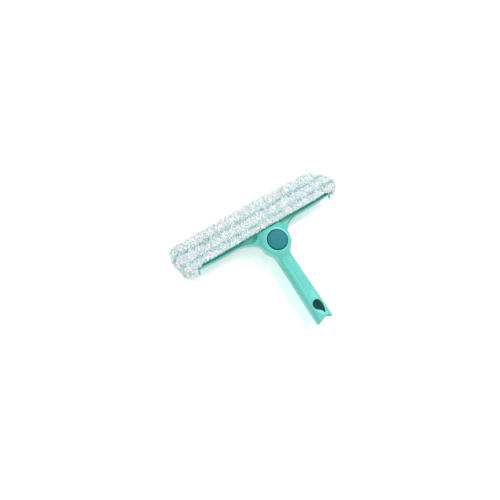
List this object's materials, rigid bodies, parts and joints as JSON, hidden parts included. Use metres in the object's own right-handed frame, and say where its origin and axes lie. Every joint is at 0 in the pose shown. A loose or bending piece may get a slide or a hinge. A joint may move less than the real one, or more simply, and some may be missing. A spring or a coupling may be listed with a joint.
{
  "type": "window cleaning squeegee",
  "caption": "T-shaped window squeegee with a pile washer pad on the head's front, a rubber blade behind, a round release button and a pole socket in the handle.",
  "frame": {"origin": "centre of the pole socket's mouth in the end of the handle", "axes": "+Y along the handle from the socket's mouth to the head, +X along the head, +Z out of the button's side"},
  "size_m": [0.281, 0.2154, 0.0616],
  "materials": {
    "housing": "smooth injection-moulded turquoise plastic, satin gloss",
    "liner": "darker turquoise plastic",
    "button": "fine-grained petrol blue plastic",
    "gasket": "dark soft rubber",
    "channel": "extruded turquoise plastic",
    "blade": "smooth dark wiper rubber",
    "mechanism": "white acetal",
    "steel": "stainless steel",
    "carrier": "light grey plastic",
    "foam": "open-cell foam",
    "pile": "white microfibre pile with pale turquoise stripes",
    "hook_tape": "woven hook tape"
  },
  "bodies": {
    "frame": {"front_shell": "housing", "rear_shell": "housing", "crossbar": "housing", "blade_channel": "channel", "squeegee_blade": "blade", "left_end_clip": "channel", "right_end_clip": "channel", "pole_socket": "liner", "button_gasket": "gasket", "latch_guide": "mechanism", "shell_screws": "steel", "crossbar_screws": "steel", "button_spring": "steel"},
    "button": {"release_button": "button"},
    "latch": {"latch_bolt": "mechanism"},
    "washer": {"pad_carrier": "carrier", "left_carrier_cap": "carrier", "right_carrier_cap": "carrier", "cap_screws": "steel", "foam_core": "foam", "sleeve_panel": "pile", "left_sleeve_end": "pile", "right_sleeve_end": "pile", "hook_strips": "hook_tape"}
  },
  "joints": [
    {"name": "button_press", "type": "slide", "parent": "frame", "child": "button", "axis": [0, 0, -1], "range_m": [0, 0.003], "stiffness_N_per_m": 600, "springref_m": -0.001, "deforming": ["button_spring"]},
    {"name": "latch_retract", "type": "slide", "parent": "frame", "child": "latch", "axis": [0, -1, 0], "range_m": [0, 0.003]},
    {"name": "washer_lift", "type": "slide", "parent": "frame", "child": "washer", "axis": [0, 0.342, 0.9397], "range_m": [0, 0.07]}
  ],
  "couplings": [
    {"joint": "latch_retract", "follows": "button_press", "ratio": 1}
  ]
}
